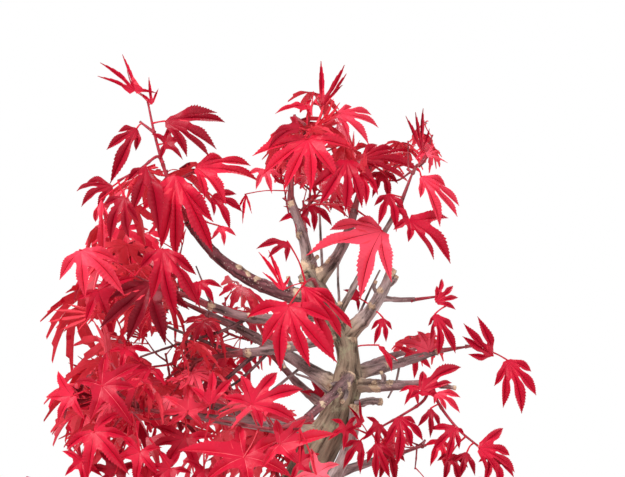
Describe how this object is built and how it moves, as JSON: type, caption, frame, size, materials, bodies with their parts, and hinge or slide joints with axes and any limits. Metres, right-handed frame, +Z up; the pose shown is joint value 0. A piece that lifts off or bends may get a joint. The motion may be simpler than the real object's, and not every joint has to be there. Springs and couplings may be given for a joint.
{
  "type": "japanese maple tree",
  "caption": "Small rooted Japanese maple with a leaning grey-brown trunk, pruned forking boughs and open masses of crimson palmate leaves.",
  "frame": {"origin": "middle of the trunk's flat cut at ground level", "axes": "+Z up; +X to the right of the tree's front; the front faces -Y"},
  "size_m": [0.53, 0.5232, 0.7635],
  "materials": {
    "trunk_bark": "matt grey-brown bark with fine ridges and lichen tints",
    "bough_bark": "smooth dark purple-brown young bark with tan scars and cut ends",
    "red_leaf": "satin crimson leaves with pale or dark veins"
  },
  "bodies": {
    "root": {"trunk": "trunk_bark", "leader_left": "bough_bark", "leader_right": "bough_bark", "bough_right": "bough_bark", "bough_left_high": "bough_bark", "bough_left_upper": "bough_bark", "bough_left_mid": "bough_bark", "bough_right_tall": "bough_bark", "bough_inner": "bough_bark", "spur_right": "bough_bark", "bough_right_mid": "bough_bark", "bough_right_low": "bough_bark", "bough_front": "bough_bark", "riser_front": "bough_bark", "bough_back_high": "bough_bark", "bough_back_right": "bough_bark", "bough_back_left": "bough_bark", "bough_back_centre": "bough_bark", "bough_left_back": "bough_bark", "bough_left_front": "bough_bark", "bough_low_left": "bough_bark", "bough_low_right": "bough_bark", "bough_low_back": "bough_bark", "bough_back_low_right": "bough_bark", "bough_low_front_left": "bough_bark", "bough_low_front_right": "bough_bark", "bough_low_back_left": "bough_bark", "foliage_left_high": "red_leaf", "foliage_crown_centre": "red_leaf", "foliage_crown_mid": "red_leaf", "foliage_crown_right": "red_leaf", "foliage_inner": "red_leaf", "foliage_right_small": "red_leaf", "foliage_right_mid": "red_leaf", "foliage_right_low": "red_leaf", "foliage_left_centre": "red_leaf", "foliage_left_mid": "red_leaf", "foliage_low_centre": "red_leaf", "foliage_left_front": "red_leaf", "foliage_back_top": "red_leaf", "foliage_back_right": "red_leaf", "foliage_back_left": "red_leaf", "foliage_back_centre": "red_leaf", "foliage_left_back": "red_leaf", "foliage_low_left": "red_leaf", "foliage_low_right": "red_leaf", "foliage_low_back": "red_leaf", "foliage_back_low_right": "red_leaf", "foliage_low_front_left": "red_leaf", "foliage_low_front_right": "red_leaf", "foliage_low_back_left": "red_leaf"}
  },
  "joints": []
}
